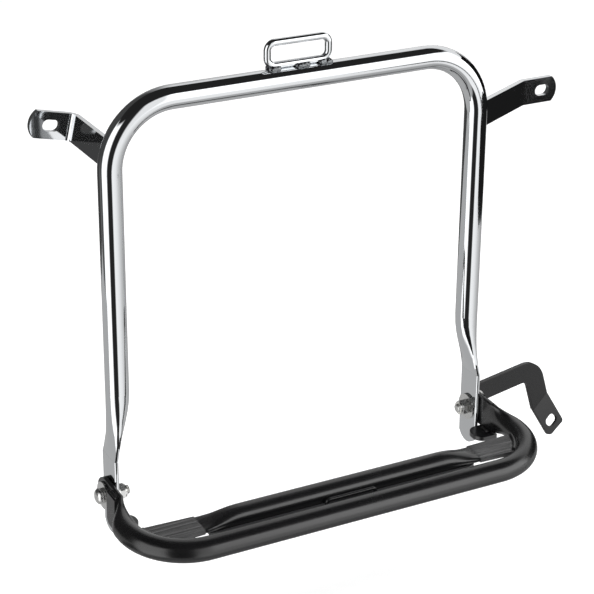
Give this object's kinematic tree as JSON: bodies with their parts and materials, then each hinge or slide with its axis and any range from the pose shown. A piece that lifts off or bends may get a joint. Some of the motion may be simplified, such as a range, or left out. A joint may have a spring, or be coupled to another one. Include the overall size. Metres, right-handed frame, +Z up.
{
  "type": "pannier frame",
  "caption": "Chromed tube hoop with flat mounting brackets and a wire loop, carrying a black tube tray that rests on stops and folds up about two pivot bolts",
  "frame": {"origin": "the middle of the pivot axis through the two pivot bolts, in the hoop's plane", "axes": "X runs along the pivot axis from the left foot to the right foot, Y points from the load side towards the machine, Z points up"},
  "size_m": [0.5112, 0.206, 0.4463],
  "materials": {
    "hoop_chrome": "bright nickel-chrome plate on a drawn steel tube",
    "loop_chrome": "bright chrome over wire and weld beads",
    "bracket_chrome": "bright chrome on punched flat bar",
    "zinc_plate": "bright zinc plate on bolts, nuts and washers",
    "nylon": "off-white nylon locking insert",
    "tray_black": "satin black powder coat on steel tube",
    "shelf_black": "satin black powder coat on plate and wire",
    "stop_black": "satin black powder coat on flat bar and weld beads",
    "bracket_black": "satin black powder coat on a folded flat bar"
  },
  "bodies": {
    "hoop": {"hoop_tube": "hoop_chrome", "top_loop": "loop_chrome", "loop_weld_left": "loop_chrome", "loop_weld_middle": "loop_chrome", "loop_weld_right": "loop_chrome", "upper_left_bracket": "bracket_chrome", "upper_left_weld": "bracket_chrome", "upper_right_bracket": "bracket_chrome", "upper_right_weld": "bracket_chrome", "lower_bracket": "bracket_black", "left_pivot_bolt": "zinc_plate", "left_outer_washer": "zinc_plate", "left_inner_washer": "zinc_plate", "left_lock_nut": "zinc_plate", "left_nylon_ring": "nylon", "right_pivot_bolt": "zinc_plate", "right_outer_washer": "zinc_plate", "right_inner_washer": "zinc_plate", "right_lock_nut": "zinc_plate", "right_nylon_ring": "nylon"},
    "tray": {"tray_tube": "tray_black", "crossbar": "tray_black", "crossbar_weld_left": "tray_black", "crossbar_weld_right": "tray_black", "shelf_plate": "shelf_black", "wire_staple": "shelf_black", "left_stop_bracket": "stop_black", "left_stop_weld": "stop_black", "right_stop_bracket": "stop_black", "right_stop_weld": "stop_black"}
  },
  "joints": [
    {"name": "tray_fold", "type": "hinge", "parent": "hoop", "child": "tray", "pos_m": [0, 0, 0], "axis": [-1, 0, 0], "range_deg": [0, 77]}
  ]
}
